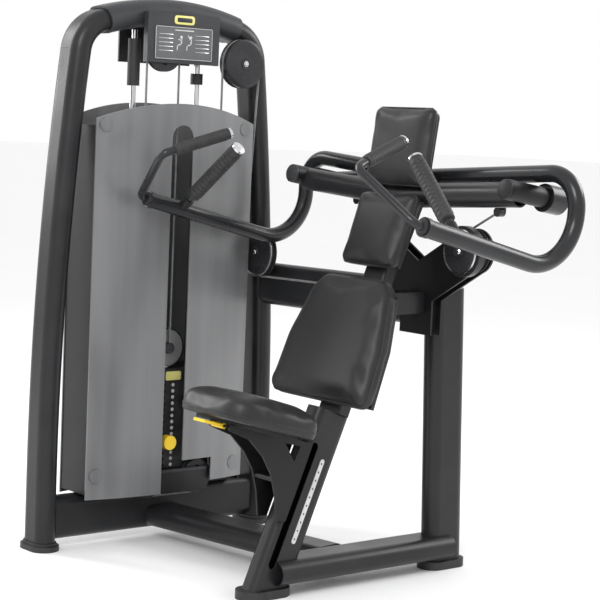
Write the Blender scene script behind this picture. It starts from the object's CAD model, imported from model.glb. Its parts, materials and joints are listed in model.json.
"""Looks of the seated shoulder press machine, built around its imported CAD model."""

import json
import math

import bmesh
import bpy
import numpy as np
from mathutils import Matrix, Vector
from mathutils.bvhtree import BVHTree


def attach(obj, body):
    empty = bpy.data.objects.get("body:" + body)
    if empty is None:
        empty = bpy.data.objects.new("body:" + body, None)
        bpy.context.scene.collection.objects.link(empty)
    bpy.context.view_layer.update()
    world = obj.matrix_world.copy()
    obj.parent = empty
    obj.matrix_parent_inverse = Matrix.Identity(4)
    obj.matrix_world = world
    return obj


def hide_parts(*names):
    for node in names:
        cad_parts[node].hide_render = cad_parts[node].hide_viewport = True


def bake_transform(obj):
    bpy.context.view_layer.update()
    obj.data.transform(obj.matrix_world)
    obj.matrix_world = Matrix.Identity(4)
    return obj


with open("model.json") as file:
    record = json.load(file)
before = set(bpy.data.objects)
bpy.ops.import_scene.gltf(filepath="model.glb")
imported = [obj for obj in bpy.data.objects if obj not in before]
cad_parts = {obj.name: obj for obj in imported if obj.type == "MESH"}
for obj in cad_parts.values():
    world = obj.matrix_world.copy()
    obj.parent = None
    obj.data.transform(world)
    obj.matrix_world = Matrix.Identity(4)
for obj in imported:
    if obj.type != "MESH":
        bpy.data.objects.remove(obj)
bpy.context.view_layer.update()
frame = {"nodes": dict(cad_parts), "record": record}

MM = 0.001
SEAT_X = 118.5
TOWER_X = -575.5
SHIFT_Y = -67.5
PIVOT_TILT = math.radians(8.5)
BACK_LEAN = math.radians(21.4)
HEAD_LEAN = math.radians(8.5)
SEAT_TILT = math.radians(15)
BAR_RISE = math.radians(13.9)


def seat_point(x, y, z):
    """A point given in millimetres from the seat's centre plane, in the row frame."""
    return Vector((SEAT_X + x, SHIFT_Y + y, z)) * MM


def tower_point(x, y, z):
    """A point given in millimetres from the tower's foot centre, in the row frame."""
    return Vector((TOWER_X + x, SHIFT_Y + y, z)) * MM


def plane_matrix(origin, angle):
    """Frame at origin whose local z is the row frame's z turned by angle about X."""
    return Matrix.Translation(origin) @ Matrix.Rotation(angle, 4, "X")


BACK_FRAME = plane_matrix(seat_point(0, 24, 470), math.pi / 2 - BACK_LEAN)
HEAD_FRAME = plane_matrix(seat_point(0, 251.6, 1015.4), math.pi / 2 - HEAD_LEAN)
SEAT_FRAME = plane_matrix(seat_point(0, -215, 470), -SEAT_TILT)

# ---- materials -----------------------------------------------------------


class Shader:
    """A Principled material with helpers for procedural detail."""

    def __init__(self, name):
        self.material = bpy.data.materials.new(name)
        self.material.use_nodes = True
        self.tree = self.material.node_tree
        self.bsdf = self.tree.nodes["Principled BSDF"]
        self.place = self.add("ShaderNodeTexCoord").outputs["Object"]
        self.normal = None

    def add(self, kind, **values):
        node = self.tree.nodes.new(kind)
        for key, value in values.items():
            setattr(node, key, value)
        return node

    def link(self, a, b):
        self.tree.links.new(a, b)

    def set(self, **values):
        for key, value in values.items():
            self.bsdf.inputs[key.replace("_", " ")].default_value = value
        return self

    def noise(self, scale, detail=4, rough=0.5, stretch=(1, 1, 1)):
        mapping = self.add("ShaderNodeMapping")
        mapping.inputs["Scale"].default_value = stretch
        self.link(self.place, mapping.inputs["Vector"])
        node = self.add("ShaderNodeTexNoise")
        node.inputs["Scale"].default_value = scale
        node.inputs["Detail"].default_value = detail
        node.inputs["Roughness"].default_value = rough
        self.link(mapping.outputs["Vector"], node.inputs["Vector"])
        return node.outputs["Fac"]

    def cells(self, scale):
        node = self.add("ShaderNodeTexVoronoi")
        node.inputs["Scale"].default_value = scale
        self.link(self.place, node.inputs["Vector"])
        return node.outputs["Distance"]

    def ramp(self, value, low, high, a, b):
        node = self.add("ShaderNodeMapRange")
        node.inputs["From Min"].default_value = low
        node.inputs["From Max"].default_value = high
        node.inputs["To Min"].default_value = a
        node.inputs["To Max"].default_value = b
        self.link(value, node.inputs["Value"])
        return node.outputs["Result"]

    def colours(self, value, dark, light, low=0.3, high=0.7):
        mix = self.add("ShaderNodeMix", data_type="RGBA")
        mix.inputs["A"].default_value = (*dark, 1)
        mix.inputs["B"].default_value = (*light, 1)
        self.link(self.ramp(value, low, high, 0, 1), mix.inputs["Factor"])
        self.link(mix.outputs["Result"], self.bsdf.inputs["Base Color"])
        return self

    def roughness(self, value, a, b):
        self.link(self.ramp(value, 0.3, 0.7, a, b), self.bsdf.inputs["Roughness"])
        return self

    def bump(self, value, distance, strength=1.0):
        node = self.add("ShaderNodeBump")
        node.inputs["Distance"].default_value = distance
        node.inputs["Strength"].default_value = strength
        self.link(value, node.inputs["Height"])
        if self.normal is not None:
            self.link(self.normal, node.inputs["Normal"])
        self.normal = node.outputs["Normal"]
        self.link(self.normal, self.bsdf.inputs["Normal"])
        return self

    def soft_edges(self, radius):
        node = self.add("ShaderNodeBevel", samples=4)
        node.inputs["Radius"].default_value = radius
        self.normal = node.outputs["Normal"]
        self.link(self.normal, self.bsdf.inputs["Normal"])
        return self


def paint(name, dark, light, rough, coat):
    """Powder coat: fine orange peel with a few dull patches."""
    s = Shader(name)
    patches = s.noise(9, 3)
    s.colours(patches, dark, light).roughness(patches, rough - 0.04, rough + 0.06)
    s.set(Coat_Weight=coat, Coat_Roughness=0.18, Specular_IOR_Level=0.3)
    s.soft_edges(0.0015)
    s.bump(s.noise(900, 2), 0.00012, 0.6)
    return s.material


def plastic(name, dark, light, rough, grain=0.0002, scale=1400):
    s = Shader(name)
    cloud = s.noise(14, 3)
    s.colours(cloud, dark, light).roughness(cloud, rough - 0.04, rough + 0.06)
    s.set(Specular_IOR_Level=0.35)
    s.soft_edges(0.0012)
    s.bump(s.cells(scale), grain, 0.5)
    return s.material


def polished_steel():
    s = Shader("steel")
    streaks = s.noise(60, 4, stretch=(1, 1, 0.05))
    s.colours(streaks, (0.55, 0.55, 0.57), (0.72, 0.72, 0.74)).roughness(streaks, 0.12, 0.24)
    s.set(Metallic=1.0)
    s.bump(s.noise(700, 2, stretch=(1, 1, 0.1)), 0.00003, 0.5)
    return s.material


def cast_plates():
    s = Shader("iron")
    cloud = s.noise(30, 5)
    s.colours(cloud, (0.012, 0.012, 0.013), (0.03, 0.03, 0.032)).roughness(cloud, 0.45, 0.62)
    s.soft_edges(0.0012)
    s.bump(s.noise(260, 5, 0.6), 0.0004, 0.5)
    return s.material


def silver_moulding():
    """Satin silver sheet: metallic flakes and faint vertical flow lines."""
    s = Shader("shroud_plastic")
    flow = s.noise(22, 4, stretch=(1, 1, 0.04))
    s.colours(flow, (0.17, 0.172, 0.176), (0.215, 0.217, 0.221)).roughness(flow, 0.28, 0.36)
    s.set(Metallic=0.35, Coat_Weight=0.3, Coat_Roughness=0.15)
    s.bump(s.noise(500, 2), 0.00008, 0.4)
    return s.material


def pad_leather():
    """Satin upholstery vinyl: pebbled grain, soft creases and worn sheen."""
    s = Shader("pad_cover")
    cloud = s.noise(11, 4)
    s.colours(cloud, (0.009, 0.0091, 0.0098), (0.0145, 0.0147, 0.0158)).roughness(cloud, 0.34, 0.46)
    s.set(Coat_Weight=0.08, Coat_Roughness=0.35, Sheen_Weight=0.03, Sheen_Roughness=0.5)
    s.set(Specular_IOR_Level=0.35)
    s.bump(s.noise(26, 3), 0.0008, 0.3)
    s.bump(s.cells(620), 0.00028, 0.55)
    s.bump(s.noise(1500, 2), 0.0001, 0.4)
    return s.material


def grip_rubber():
    s = Shader("rubber")
    cloud = s.noise(40, 4)
    s.colours(cloud, (0.012, 0.012, 0.013), (0.028, 0.028, 0.03)).roughness(cloud, 0.5, 0.68)
    s.bump(s.noise(1200, 2), 0.00015, 0.5)
    return s.material


def cable_sheath():
    s = Shader("cable")
    cloud = s.noise(80, 3)
    s.colours(cloud, (0.13, 0.13, 0.132), (0.2, 0.2, 0.203)).roughness(cloud, 0.3, 0.45)
    s.bump(s.noise(900, 2, stretch=(1, 1, 0.2)), 0.0001, 0.4)
    return s.material


FRAME_GREYS = (0.011, 0.0113, 0.0125), (0.017, 0.0173, 0.0188)
ARM_GREYS = (0.010, 0.0105, 0.012), (0.015, 0.0155, 0.0175)
PULLEY_GREYS = (0.013, 0.013, 0.015), (0.022, 0.022, 0.025)

MATERIALS = {
    "frame_paint": paint("frame_paint", *FRAME_GREYS, 0.34, 0.05),
    "arm_paint": paint("arm_paint", *ARM_GREYS, 0.27, 0.25),
    "black_metal": paint("black_metal", (0.005, 0.005, 0.0055), (0.009, 0.009, 0.01), 0.42, 0.0),
    "steel": polished_steel(),
    "iron": cast_plates(),
    "shroud_plastic": silver_moulding(),
    "hood_plastic": plastic("hood_plastic", (0.03, 0.031, 0.034), (0.042, 0.043, 0.047), 0.4),
    "black_plastic": plastic("black_plastic", (0.01, 0.01, 0.011), (0.018, 0.018, 0.02), 0.45),
    "pulley_plastic": plastic("pulley_plastic", *PULLEY_GREYS, 0.26),
    "pad_cover": pad_leather(),
    "rubber": grip_rubber(),
    "cable": cable_sheath(),
    "panel": plastic("panel", (0.1, 0.103, 0.108), (0.125, 0.128, 0.134), 0.38),
    "strip": plastic("strip", (0.5, 0.5, 0.49), (0.6, 0.6, 0.59), 0.4),
    "yellow_plastic": plastic("yellow_plastic", (0.75, 0.5, 0.02), (0.85, 0.6, 0.04), 0.3),
    "label": plastic("label", (0.72, 0.66, 0.2), (0.8, 0.74, 0.28), 0.35),
}
for part in frame["record"]["subparts"]:
    shown = frame["nodes"][part["node"]]
    shown.data.materials.clear()
    shown.data.materials.append(MATERIALS[part["material_slot"]])

# ---- mesh helpers --------------------------------------------------------


def piece(name, verts, faces, body, slot, smooth=True):
    """A new mesh object that takes its finish from a slot and rides on a body, if one is named."""
    mesh = bpy.data.meshes.new(name)
    mesh.from_pydata([tuple(v) for v in verts], [], faces)
    bm = bmesh.new()
    bm.from_mesh(mesh)
    bmesh.ops.recalc_face_normals(bm, faces=bm.faces)
    bm.to_mesh(mesh)
    bm.free()
    if smooth:
        mesh.polygons.foreach_set("use_smooth", [True] * len(mesh.polygons))
        mesh.set_sharp_from_angle(angle=math.radians(42))
    obj = bpy.data.objects.new(name, mesh)
    bpy.context.scene.collection.objects.link(obj)
    obj.data.materials.append(MATERIALS[slot])
    if body:
        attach(obj, body)
    return obj


def rounded(points, radii, steps=8):
    """Closed outline through 2-D corner points, each rounded with its own radius."""
    outline = []
    count = len(points)
    for i, corner in enumerate(points):
        here = Vector(corner)
        a = (Vector(points[i - 1]) - here).normalized()
        b = (Vector(points[(i + 1) % count]) - here).normalized()
        half = a.angle(b) / 2
        reach = radii[i] / math.tan(half)
        centre = here + (a + b).normalized() * radii[i] / math.sin(half)
        start = here + a * reach - centre
        turn = start.angle_signed(here + b * reach - centre)
        for k in range(steps + 1):
            outline.append(centre + Matrix.Rotation(-turn * k / steps, 2) @ start)
    return outline


def path_3d(points, bend, steps=8):
    """Open path through 3-D points with round corners of the given reach."""
    path = [Vector(points[0])]
    for before, here, after in zip(points, points[1:-1], points[2:]):
        here = Vector(here)
        a = here + (Vector(before) - here).normalized() * bend
        b = here + (Vector(after) - here).normalized() * bend
        for k in range(steps + 1):
            t = k / steps
            path.append(a * (1 - t) ** 2 + here * 2 * t * (1 - t) + b * t * t)
    path.append(Vector(points[-1]))
    return path


def sweep(path, radius, sides=28, closed=False):
    """Vertices and faces of a round tube along a path; radius may be one per point."""
    radii = radius if isinstance(radius, list) else [radius] * len(path)
    verts, faces = [], []
    side = None
    for i, p in enumerate(path):
        before = path[i - 1] if i or closed else p
        after = path[(i + 1) % len(path)] if i + 1 < len(path) or closed else p
        heading = (after - before).normalized()
        if side is None:
            side = heading.orthogonal().normalized()
        side = (side - heading * side.dot(heading)).normalized()
        other = heading.cross(side)
        for k in range(sides):
            a = 2 * math.pi * k / sides
            verts.append(p + (side * math.cos(a) + other * math.sin(a)) * radii[i])
    rows = len(path) if closed else len(path) - 1
    for i in range(rows):
        j = (i + 1) % len(path)
        for k in range(sides):
            n = (k + 1) % sides
            faces.append((i * sides + k, i * sides + n, j * sides + n, j * sides + k))
    if not closed:
        faces.append(tuple(range(sides))[::-1])
        faces.append(tuple((len(path) - 1) * sides + k for k in range(sides)))
    return verts, faces


def lathe(profile, origin, axis, sides=48):
    """Vertices and faces of a solid of revolution; the profile holds (radius, height)."""
    turn = Vector((0, 0, 1)).rotation_difference(Vector(axis)).to_matrix()
    verts, faces = [], []
    for r, h in profile:
        for k in range(sides):
            a = 2 * math.pi * k / sides
            verts.append(Vector(origin) + turn @ Vector((r * math.cos(a), r * math.sin(a), h)))
    for i in range(len(profile) - 1):
        for k in range(sides):
            n = (k + 1) % sides
            faces.append((i * sides + k, i * sides + n, (i + 1) * sides + n, (i + 1) * sides + k))
    faces.append(tuple(range(sides))[::-1])
    faces.append(tuple((len(profile) - 1) * sides + k for k in range(sides)))
    return verts, faces


def slab(outline, base, top, matrix, edge=0.0015):
    """A flat plate over a 2-D outline with a small rounded front edge."""
    count = len(outline)
    centre = sum(outline, Vector((0, 0))) / count
    verts, faces = [], []
    for inset, z in ((0, base), (0, top - edge), (edge * 0.4, top - edge * 0.3), (edge, top)):
        for p in outline:
            q = p + (centre - p).normalized() * inset
            verts.append(matrix @ Vector((q.x, q.y, z)))
    for i in range(3):
        for k in range(count):
            n = (k + 1) % count
            faces.append((i * count + k, i * count + n, (i + 1) * count + n, (i + 1) * count + k))
    faces.append(tuple(range(count))[::-1])
    faces.append(tuple(3 * count + k for k in range(count)))
    return verts, faces


# ---- cushions ------------------------------------------------------------


def pad_mesh(outline, base, top, edge_radius, crown):
    """Closed crowned form: flat back, upright sides and a domed front."""
    count = len(outline)
    centre = sum(outline, Vector((0, 0))) / count
    span = min((p - centre).length for p in outline)
    rows = [(0.003, base), (0.0, base + 0.004), (0.0, (base + top) / 2)]
    for k in range(1, 7):
        a = math.pi / 2 * k / 6
        drop = crown + edge_radius * (1 - math.sin(a))
        rows.append((edge_radius * (1 - math.cos(a)), top - drop))
    inner = rows[-1][0] / span
    for k in range(1, 9):
        share = inner + (1 - inner) * k / 9
        rows.append((share * span, top - crown * (1 - share) ** 1.6))
    verts = []
    for inset, z in rows:
        for p in outline:
            q = centre + (p - centre) * (1 - inset / span)
            verts.append(Vector((q.x, q.y, z)))
    faces = [tuple(range(count))[::-1]]
    for i in range(len(rows) - 1):
        for k in range(count):
            n = (k + 1) % count
            faces.append((i * count + k, i * count + n, (i + 1) * count + n, (i + 1) * count + k))
    faces.append(tuple((len(rows) - 1) * count + k for k in range(count)))
    return verts, faces


def inflate(obj, cap, held_z, matrix):
    """Swells a pad's cover with a short cloth run; nothing moves further than cap."""
    remesh = obj.modifiers.new("skin", "REMESH")
    remesh.mode = "VOXEL"
    remesh.voxel_size = 0.006
    apply_modifiers(obj)
    rest = np.array([v.co for v in obj.data.vertices])
    local = np.array([(matrix.inverted() @ Vector(p)).z for p in rest])
    group = obj.vertex_groups.new(name="held")
    group.add([int(i) for i in np.nonzero(local < held_z)[0]], 1.0, "REPLACE")
    cloth = obj.modifiers.new("cover", "CLOTH")
    cloth.settings.vertex_group_mass = "held"
    cloth.settings.use_pressure = True
    cloth.settings.uniform_pressure_force = 4
    cloth.settings.effector_weights.gravity = 0
    cloth.point_cache.frame_end = 20
    scene = bpy.context.scene
    for step in range(1, 21):
        scene.frame_set(step)
    apply_modifiers(obj)
    moved = np.array([v.co for v in obj.data.vertices]) - rest
    size = np.linalg.norm(moved, axis=1, keepdims=True)
    moved *= np.minimum(1, cap / np.maximum(size, 1e-9))
    obj.data.vertices.foreach_set("co", (rest + moved).astype(np.float32).ravel())
    scene.frame_set(1)
    calm = obj.modifiers.new("calm", "SMOOTH")
    calm.factor, calm.iterations = 0.5, 14
    finer = obj.modifiers.new("finer", "SUBSURF")
    finer.levels = finer.render_levels = 1
    apply_modifiers(obj)


def apply_modifiers(obj):
    graph = bpy.context.evaluated_depsgraph_get()
    mesh = bpy.data.meshes.new_from_object(obj.evaluated_get(graph))
    obj.modifiers.clear()
    old = obj.data
    obj.data = mesh
    bpy.data.meshes.remove(old)


def cushion(name, node, body, outline, base, top, matrix, edge, crown, cap, seam_z):
    """A stuffed pad over its CAD solid, with a piped seam round its side."""
    shrink = cap * 0.5
    centre = sum(outline, Vector((0, 0))) / len(outline)
    inner = [p + (centre - p).normalized() * shrink for p in outline]
    verts, faces = pad_mesh(inner, base, top - shrink, edge, crown)
    obj = piece(name, [matrix @ v for v in verts], faces, body, "pad_cover")
    inflate(obj, cap, base + 0.003, matrix)
    obj.data.polygons.foreach_set("use_smooth", [True] * len(obj.data.polygons))
    tree = BVHTree.FromPolygons(
        [v.co for v in obj.data.vertices], [tuple(p.vertices) for p in obj.data.polygons]
    )
    seam = []
    for p in outline:
        nearest = tree.find_nearest(matrix @ Vector((p.x, p.y, seam_z)))[0]
        seam.append(nearest)
    welt_verts, welt_faces = sweep(seam, 0.0022, sides=10, closed=True)
    piece(name + "_piping", welt_verts, welt_faces, body, "pad_cover")
    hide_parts(node)


def lower_outline():
    corners = [(-0.19, 0.0), (0.19, 0.0), (0.182, 0.16), (0.15, 0.296), (0.112, 0.338)]
    corners += [(-0.112, 0.338), (-0.15, 0.296), (-0.182, 0.16)]
    return rounded(corners, [0.03, 0.03, 0.2, 0.05, 0.04, 0.04, 0.05, 0.2])


def middle_outline():
    return rounded([(-0.1, 0.368), (0.1, 0.368), (0.108, 0.568), (-0.108, 0.568)], [0.016] * 4)


def head_outline():
    return rounded([(-0.113, 0), (0.113, 0), (0.113, 0.206), (-0.113, 0.206)], [0.02] * 4)


def seat_outline():
    corners = [(-0.122, -0.131), (0.122, -0.131), (0.148, 0.02), (0.146, 0.131), (-0.146, 0.131)]
    return rounded(corners + [(-0.148, 0.02)], [0.06, 0.06, 0.15, 0.035, 0.035, 0.15])


cushion("lower_back_cushion", "lower_back_pad", "frame", lower_outline(), 0.0, 0.057,
        BACK_FRAME, edge=0.022, crown=0.006, cap=0.006, seam_z=0.026)
cushion("middle_back_cushion", "middle_back_pad", "frame", middle_outline(), -0.0145, 0.0315,
        BACK_FRAME, edge=0.018, crown=0.005, cap=0.005, seam_z=0.006)
cushion("head_cushion", "headrest_pad", "frame", head_outline(), 0.0, 0.038,
        HEAD_FRAME, edge=0.014, crown=0.005, cap=0.005, seam_z=0.016)
cushion("seat_cushion", "seat_pad", "seat", seat_outline(), -0.034, 0.038,
        SEAT_FRAME, edge=0.026, crown=0.008, cap=0.006, seam_z=-0.016)

# ---- press arm handles ---------------------------------------------------

BAR_TIP = Vector((529, -146, 948))
BAR_HEADING = Vector((0, -math.cos(BAR_RISE), math.sin(BAR_RISE)))
BAR_RADIUS = 0.0105
SIDES = {"left": 1, "right": -1}


def mirrored(side, v):
    """A point of the left handle, or its mirror image for the right one."""
    return seat_point(SIDES[side] * v[0], v[1], v[2])


def ribbed_profile(length, core, rib, ribs):
    """Profile of a grip with soft ribs and rounded shoulders."""
    profile = [(core * 0.8, 0), (core, 0.003)]
    for k in range(ribs):
        start = length * (0.06 + 0.88 * k / ribs)
        pitch = length * 0.88 / ribs
        profile += [(core, start), (core + rib, start + pitch * 0.2)]
        profile += [(core + rib, start + pitch * 0.65), (core, start + pitch * 0.85)]
    profile += [(core, length - 0.003), (core * 0.8, length)]
    return profile


def grip(name, side, a, b, core, rib, ribs, body):
    """Ribbed rubber sleeve from a to b with a metal ring at its far end."""
    start, end = mirrored(side, a), mirrored(side, b)
    axis = (end - start).normalized()
    verts, faces = lathe(ribbed_profile((end - start).length, core, rib, ribs), start, axis)
    obj = piece(name, verts, faces, body, "rubber")
    ring = [(core * 0.5, 0), (core * 0.98, 0.001), (core * 0.98, 0.007), (core * 0.7, 0.01)]
    verts, faces = lathe(ring, end - axis * 0.002, axis)
    piece(name + "_end_ring", verts, faces, body, "steel")
    return obj


def handle_set(side):
    """Front and side bar of one press arm with their grips, cap, ring and clevis."""
    body = side + "_press"
    tip = BAR_TIP + BAR_HEADING * 14
    corner, front_end = Vector((377, -227, 1074)), Vector((330, -50, 1133))
    bar = path_3d([tip, tip + BAR_HEADING * 26, corner, front_end], 22)
    verts, faces = sweep([mirrored(side, p) for p in bar], BAR_RADIUS)
    front = piece(side + "_front_bar", verts, faces, body, "arm_paint")
    clevis, side_end = Vector((507, -48, 944)), Vector((338, -12, 1094))
    foot = clevis + (clevis - side_end) * 0.08
    verts, faces = sweep([mirrored(side, foot), mirrored(side, side_end)], BAR_RADIUS)
    piece(side + "_side_bar", verts, faces, body, "arm_paint")
    cap = [(0.0185, 0), (0.0185, 0.004), (0.0165, 0.008), (0.011, 0.0095)]
    heading = mirrored(side, BAR_HEADING * 1000) - mirrored(side, (0, 0, 0))
    verts, faces = lathe(cap, mirrored(side, tip), heading)
    piece(side + "_bar_cap", verts, faces, body, "black_plastic")
    ring = [(0.0218, -0.002), (0.0228, 0), (0.0228, 0.004), (0.0218, 0.006)]
    verts, faces = lathe(ring, mirrored(side, BAR_TIP + BAR_HEADING * 8), heading)
    piece(side + "_bar_ring", verts, faces, body, "steel")
    lug = [(0.008, -0.018), (0.0145, -0.014), (0.0145, 0.014), (0.008, 0.018)]
    pivot = mirrored(side, clevis)
    verts, faces = lathe(lug, pivot, mirrored(side, side_end) - pivot)
    piece(side + "_side_clevis", verts, faces, body, "black_metal")
    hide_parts(side + "_handle_bars")
    start = corner + (front_end - corner) * 0.2
    first = grip(side + "_front_grip", side, start, front_end, 0.0152, 0.0008, 16, body)
    start = clevis + (side_end - clevis) * 0.12
    grip(side + "_side_grip", side, start, side_end, 0.0185, 0.0015, 14, body)
    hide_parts(side + "_grips")


for arm_side in SIDES:
    handle_set(arm_side)

# ---- small parts ---------------------------------------------------------


def cap_profile(radius, height, rim):
    """Low dome with a stepped rim."""
    return [(radius, 0), (radius, height * 0.4), (radius - rim, height * 0.55),
            (radius - rim * 1.2, height * 0.75), (radius * 0.5, height), (radius * 0.05, height)]


def hex_bolt(name, origin, axis, size, body):
    """Hexagonal bolt head on a washer."""
    washer = 0.0015
    verts, faces = lathe([(size * 1.25, 0), (size * 1.25, washer)], origin, axis)
    piece(name + "_washer", verts, faces, body, "steel")
    head = [(size, washer), (size, size * 0.6), (size * 0.85, size * 0.75)]
    verts, faces = lathe(head, origin, axis, sides=6)
    piece(name, verts, faces, body, "steel", smooth=False)


def disc_trim(name, origin, axis, radius, body, rim="steel", face="pulley_plastic"):
    """Thin rim, domed cover, collar and bolt on the face of a pulley or its cover."""
    ring = [(radius - 0.0014, 0), (radius, 0.0005), (radius, 0.0018), (radius - 0.0014, 0.0024)]
    verts, faces = lathe(ring, origin, axis, 72)
    piece(name + "_ring", verts, faces, body, rim)
    verts, faces = lathe(cap_profile(radius - 0.002, 0.005, 0.004), origin, axis, 72)
    piece(name + "_face", verts, faces, body, face)
    collar = [(0.016, 0.003), (0.016, 0.0062), (0.0145, 0.007), (0.011, 0.0058)]
    verts, faces = lathe(collar, origin, axis)
    piece(name + "_collar", verts, faces, body, "black_plastic")
    hex_bolt(name + "_bolt", Vector(origin) + Vector(axis) * 0.0055, axis, 0.0065, body)


FORWARD = Vector((0, -1, 0))
for arm_side, sign in SIDES.items():
    disc_trim(arm_side + "_v_disc", seat_point(sign * 178, 305, 863), FORWARD, 0.058, "frame")
disc_trim("rear_low_disc", tower_point(74, 294 - 8, 798), FORWARD, 0.0695, "rear_low_wheel")
RIGHTWARD = Vector((1, 0, 0))
disc_trim("rear_top_disc", tower_point(78, 214, 1325), RIGHTWARD, 0.067,
          "rear_top_wheel", rim="pulley_plastic")
disc_trim("lift_disc", tower_point(52, 0, 534.2), RIGHTWARD, 0.0555, "stack", face="shroud_plastic")
PIVOT_OUT = Vector((0, -math.cos(PIVOT_TILT), math.sin(PIVOT_TILT)))
for arm_side, sign in SIDES.items():
    face = seat_point(sign * 401, 235, 1030) + PIVOT_OUT * 0.009
    verts, faces = lathe(cap_profile(0.0245, 0.012, 0.004), face - PIVOT_OUT * 0.002, PIVOT_OUT)
    slot_name = "black_plastic" if sign > 0 else "hood_plastic"
    piece(arm_side + "_pivot_cap", verts, faces, "frame", slot_name)

PLATE_PITCH = 17.3
STACK_BOTTOM = 194
PLATES, RESTING_PLATES = 14, 4
PLATE_FACE_X = 45
MARKS_Y = 30
for k in range(PLATES):
    centre = tower_point(PLATE_FACE_X, MARKS_Y, STACK_BOTTOM + (k + 0.5) * PLATE_PITCH)
    owner = "frame" if k < RESTING_PLATES else "stack"
    verts, faces = lathe([(0.005, 0), (0.005, 0.0006), (0.0042, 0.001)], centre, RIGHTWARD, 20)
    piece(f"plate_dot_{k:02d}", verts, faces, owner, "strip")



# Turns a plate drawn in local x and y so that it faces the front of the tower
FACING = Matrix.Rotation(math.pi / 2, 4, "Z") @ Matrix.Rotation(math.pi / 2, 4, "X")


def front_plate(name, centre, width, height, depth, corner, body, slot):
    """Rounded plate facing the front of the tower, standing out from centre."""
    w, h = width / 2, height / 2
    outline = rounded([(-w, -h), (w, -h), (w, h), (-w, h)], [corner] * 4, 5)
    edge = min(0.0004, depth / 3)
    verts, faces = slab(outline, 0, depth, Matrix.Translation(centre) @ FACING, edge)
    piece(name, verts, faces, body, slot)


front_plate("top_plate_label", tower_point(PLATE_FACE_X, MARKS_Y, 453),
            0.052, 0.025, 0.0012, 0.005, "stack", "label")
front_plate("stack_guard", tower_point(74, 52, 163),
            0.168, 0.066, 0.003, 0.004, "frame", "black_plastic")
front_plate("stack_guard_rib", tower_point(77, 52, 190),
            0.16, 0.007, 0.0015, 0.002, "frame", "hood_plastic")

HOOD_FACE_X = 78
PLACARD_FACE_X = 80
HOOD_Y = 2
front_plate("hood_badge", tower_point(HOOD_FACE_X, HOOD_Y, 1431),
            0.066, 0.024, 0.0025, 0.008, "frame", "label")
front_plate("hood_badge_field", tower_point(80.4, HOOD_Y, 1431),
            0.05, 0.012, 0.0006, 0.004, "frame", "hood_plastic")
# Border and heading line of the placard: y, z, width and height
PLACARD_LINES = [(HOOD_Y, 1411, 186, 1.5), (HOOD_Y, 1325.5, 186, 1.5), (-91.5, 1368, 1.5, 84),
                 (95.5, 1368, 1.5, 84), (HOOD_Y, 1403, 62, 3)]
for k, (y, z, w, h) in enumerate(PLACARD_LINES):
    front_plate(f"placard_line_{k}", tower_point(PLACARD_FACE_X, y, z),
                w * MM, h * MM, 0.0005, 0.0006, "frame", "strip")
for k in range(10):
    y = -58 if k % 2 else 62
    front_plate(f"placard_rule_{k}", tower_point(PLACARD_FACE_X, y, 1391 - 11 * (k // 2)),
                0.046, 0.0016, 0.0005, 0.0006, "frame", "steel")


def placard_figure(name, y, z, lift):
    """A small seated figure in plain shapes: head, trunk, thigh, shin and raised arm."""
    head = tower_point(PLACARD_FACE_X, y, z + 17)
    verts, faces = lathe([(0.0042, 0), (0.0042, 0.0004), (0.0036, 0.0006)], head, RIGHTWARD, 24)
    piece(name + "_head", verts, faces, "frame", "strip")
    limbs = [((y, z - 2), (y + 1, z + 10), 4.2), ((y, z - 3), (y - 12, z - 4), 3.4),
             ((y - 12, z - 4), (y - 13, z - 17), 3), ((y, z + 8), (y - 9, z + 8 + lift), 2.4)]
    place = Matrix.Translation(tower_point(PLACARD_FACE_X, 0, 0)) @ FACING
    for k, (a, b, width) in enumerate(limbs):
        a, b = Vector(a), Vector(b)
        along = (b - a).normalized() * width / 2
        across = Vector((-along.y, along.x))
        corners = [a - along + across, a - along - across, b + along - across, b + along + across]
        outline = rounded([tuple(c * MM) for c in corners], [width * 0.35 * MM] * 4, 4)
        verts, faces = slab(outline, 0, 0.0005, place, 0.0001)
        piece(f"{name}_limb_{k}", verts, faces, "frame", "strip")


placard_figure("figure_low", -8, 1368, 3)
placard_figure("figure_high", 24, 1368, 14)


def blended_rope(name, node, a, b):
    """A straight rope that stays joined to a moving body at a and to the frame at b."""
    verts, faces = sweep([a.lerp(b, k / 24) for k in range(25)], 0.003, sides=16)
    rope = piece(name, verts, faces, None, "cable")
    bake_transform(rope)
    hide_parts(node)


LIFT_X, LIFT_Y = 62, 1
blended_rope("lift_rope", "lift_cable",
             tower_point(LIFT_X, LIFT_Y, 549), tower_point(LIFT_X, LIFT_Y, 1342))
for arm_side, sign in SIDES.items():
    lug, tip = seat_point(sign * 251, 350, 962), seat_point(sign * 153, 350, 909.7)
    blended_rope(arm_side + "_pull_rope", arm_side + "_pull_cable", lug, tip)

# ---- stage, light and camera ---------------------------------------------


def plain_material(name, colour, rough):
    s = Shader(name)
    cloud = s.noise(2, 2)
    light = tuple(min(1, c * 1.01) for c in colour)
    s.colours(cloud, colour, light).set(Roughness=rough)
    return s.material


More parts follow.
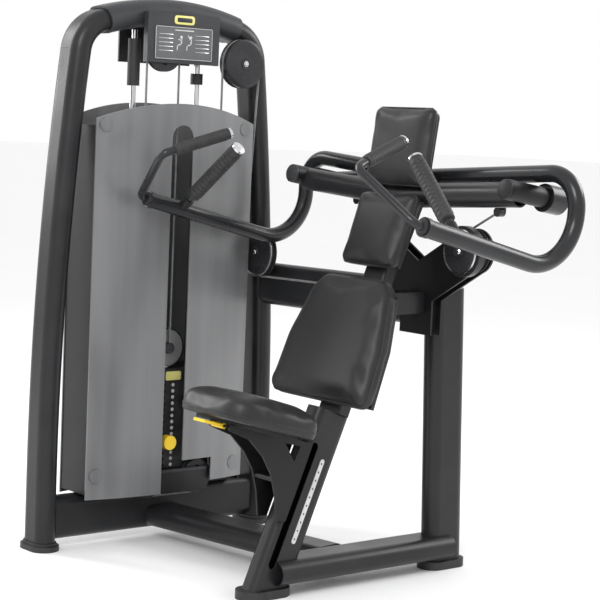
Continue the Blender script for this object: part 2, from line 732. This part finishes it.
def make_floor():
    """Plain pale floor, wide enough to hide its far edge."""
    size = 60
    mesh = bpy.data.meshes.new("floor")
    corners = [(-size, -size, 0), (size, -size, 0), (size, size, 0), (-size, size, 0)]
    mesh.from_pydata(corners, [], [(0, 1, 2, 3)])
    floor = bpy.data.objects.new("floor", mesh)
    bpy.context.scene.collection.objects.link(floor)
    floor.data.materials.append(plain_material("floor", (0.93, 0.93, 0.93), 0.8))


def area_light(name, place, target, size, power):
    data = bpy.data.lights.new(name, "AREA")
    data.shape = "RECTANGLE"
    data.size, data.size_y = size
    data.energy = power
    lamp = bpy.data.objects.new(name, data)
    lamp.location = place
    lamp.rotation_euler = (Vector(target) - Vector(place)).to_track_quat("-Z", "Y").to_euler()
    bpy.context.scene.collection.objects.link(lamp)


def make_camera():
    """Long lens from the front right of the machine, slightly tilted."""
    azimuth, pitch, roll = math.radians(50.31), math.radians(5.56), math.radians(2.41)
    level = math.cos(pitch)
    forward = Vector((-math.sin(azimuth) * level, math.cos(azimuth) * level, -math.sin(pitch)))
    right = Vector((math.cos(azimuth), math.sin(azimuth), 0))
    up = right.cross(forward)
    tilted_right = right * math.cos(roll) + up * math.sin(roll)
    tilted_up = up * math.cos(roll) - right * math.sin(roll)
    data = bpy.data.cameras.new("camera")
    data.lens = 107.94
    data.sensor_width = 36
    camera = bpy.data.objects.new("camera", data)
    turn = Matrix((tilted_right, tilted_up, -forward)).transposed().to_4x4()
    camera.matrix_world = Matrix.Translation(tower_point(4086, -2877, 1163)) @ turn
    bpy.context.scene.collection.objects.link(camera)
    bpy.context.scene.camera = camera


make_floor()
make_camera()
area_light("key", (2.6, -3.2, 3.4), (0, 0, 0.8), (1.8, 1.8), 95)
area_light("side", (-3.4, -1.6, 2.4), (0, 0, 0.8), (0.9, 2.6), 70)
area_light("back", (1.2, 3.6, 2.8), (0, 0, 0.9), (2.6, 1.2), 60)
bpy.context.scene.view_settings.view_transform = "Standard"
world = bpy.data.worlds.new("studio")
world.use_nodes = True
world.node_tree.nodes["Background"].inputs["Color"].default_value = (1, 1, 1, 1)
world.node_tree.nodes["Background"].inputs["Strength"].default_value = 1.0
bpy.context.scene.world = world
